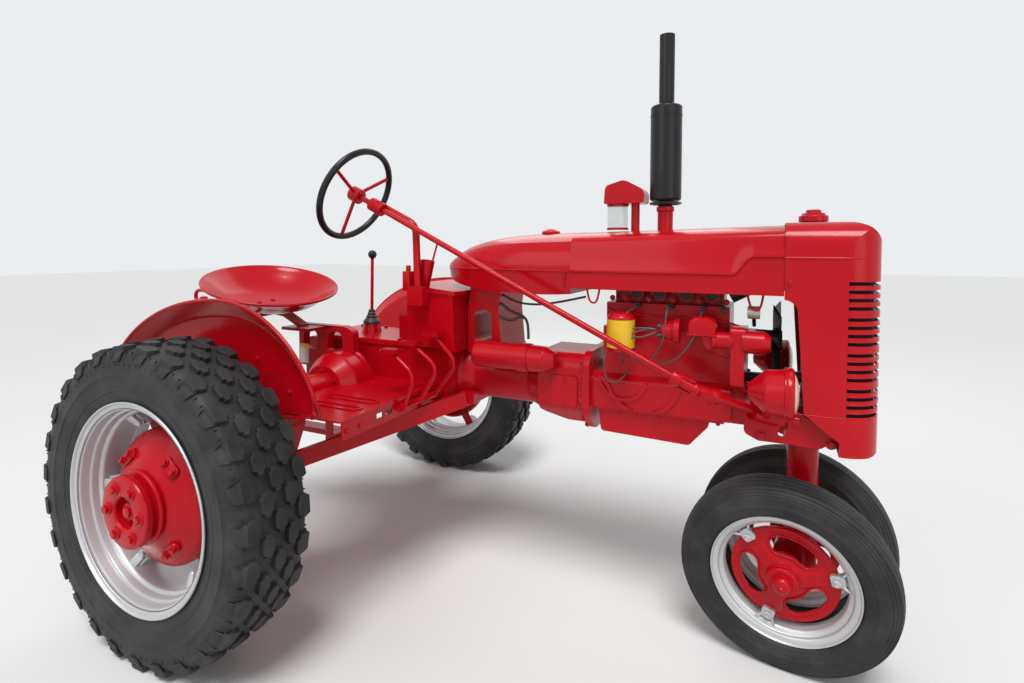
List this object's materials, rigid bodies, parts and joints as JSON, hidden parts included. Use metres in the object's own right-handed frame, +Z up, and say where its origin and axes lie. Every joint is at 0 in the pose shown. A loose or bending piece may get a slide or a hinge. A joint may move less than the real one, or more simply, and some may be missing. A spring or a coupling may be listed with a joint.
{
  "type": "row crop farm tractor with twin front wheels",
  "caption": "Red row crop tractor with a torque tube frame, offset seat and steering, tall rear wheels under round fenders and leaning front wheels on one steered pedestal.",
  "frame": {"origin": "on the ground under the middle of the whole length and width", "axes": "+X forwards, +Y to the driver's left, +Z up"},
  "size_m": [2.759, 2.01, 2.0313],
  "materials": {
    "red_paint": "gloss red paint on sheet steel",
    "red_castings": "gloss red paint on castings and bars",
    "silver_paint": "aluminium paint, satin",
    "black_paint": "satin black paint",
    "wheel_grip": "hard black rim covering",
    "tyre_rubber": "black rubber",
    "jar_glass": "clear ribbed glass"
  },
  "bodies": {
    "chassis": {"axle_braces": "red_castings", "battery_box": "red_paint", "clutch_housing": "red_castings", "distributor": "red_castings", "drawbar": "red_castings", "electrics": "red_castings", "engine_block": "red_castings", "fan": "black_paint", "fenders": "red_paint", "final_drives": "red_castings", "front_bolster": "red_castings", "fuel_tank": "red_paint", "gearshift": "red_castings", "headlamps": "red_paint", "hood": "red_paint", "manifold": "red_castings", "muffler": "black_paint", "oil_filter": "red_paint", "oil_pan": "red_castings", "pedals": "red_castings", "platform": "red_paint", "precleaner": "red_paint", "precleaner_jar": "jar_glass", "radiator": "black_paint", "radiator_shell": "red_paint", "seat_pan": "red_paint", "seat_support": "red_castings", "steering_post": "red_castings", "tank_support": "red_castings", "timing_case": "red_castings", "torque_tube": "red_castings", "transmission_case": "red_castings"},
    "front_pedestal": {"front_pedestal": "red_castings"},
    "steering_wheel": {"steering_shaft": "red_castings", "steering_rim": "wheel_grip"},
    "steering_stub": {"steering_stub": "red_castings"},
    "rear_wheel_right": {"rear_tyre_right": "tyre_rubber", "rear_rim_right": "silver_paint", "rear_disc_right": "red_castings"},
    "rear_wheel_left": {"rear_tyre_left": "tyre_rubber", "rear_rim_left": "silver_paint", "rear_disc_left": "red_castings"},
    "front_wheel_right": {"front_tyre_right": "tyre_rubber", "front_rim_right": "silver_paint", "front_disc_right": "red_castings"},
    "front_wheel_left": {"front_tyre_left": "tyre_rubber", "front_rim_left": "silver_paint", "front_disc_left": "red_castings"}
  },
  "joints": [
    {"name": "steer", "type": "hinge", "parent": "chassis", "child": "front_pedestal", "pos_m": [1.09546, 0, 0.71505], "axis": [0, 0, 1], "range_deg": [-58.3, 71.7]},
    {"name": "steering_wheel_turn", "type": "hinge", "parent": "chassis", "child": "steering_wheel", "pos_m": [-0.48954, -0.262, 1.50505], "axis": [0.8981, 0, -0.4398], "range_deg": [-650.3, 529.7]},
    {"name": "steering_stub_turn", "type": "hinge", "parent": "chassis", "child": "steering_stub", "pos_m": [0.79576, -0.262, 0.87555], "axis": [0.8185, 0.4647, -0.3379], "range_deg": [-650.3, 529.7]},
    {"name": "rear_wheel_right_spin", "type": "hinge", "parent": "chassis", "child": "rear_wheel_right", "pos_m": [-0.73954, -0.87, 0.50405], "axis": [0, 1, 0], "continuous": true},
    {"name": "rear_wheel_left_spin", "type": "hinge", "parent": "chassis", "child": "rear_wheel_left", "pos_m": [-0.73954, 0.87, 0.50405], "axis": [0, 1, 0], "continuous": true},
    {"name": "front_wheel_right_spin", "type": "hinge", "parent": "front_pedestal", "child": "front_wheel_right", "pos_m": [1.04577, -0.12304, 0.30367], "axis": [0.1156, 0.9842, 0.134], "continuous": true},
    {"name": "front_wheel_left_spin", "type": "hinge", "parent": "front_pedestal", "child": "front_wheel_left", "pos_m": [1.07563, 0.13121, 0.30367], "axis": [0.1156, 0.9842, -0.134], "continuous": true}
  ],
  "couplings": [
    {"joint": "steering_wheel_turn", "follows": "steer", "ratio": -9},
    {"joint": "steering_stub_turn", "follows": "steer", "ratio": -9}
  ]
}
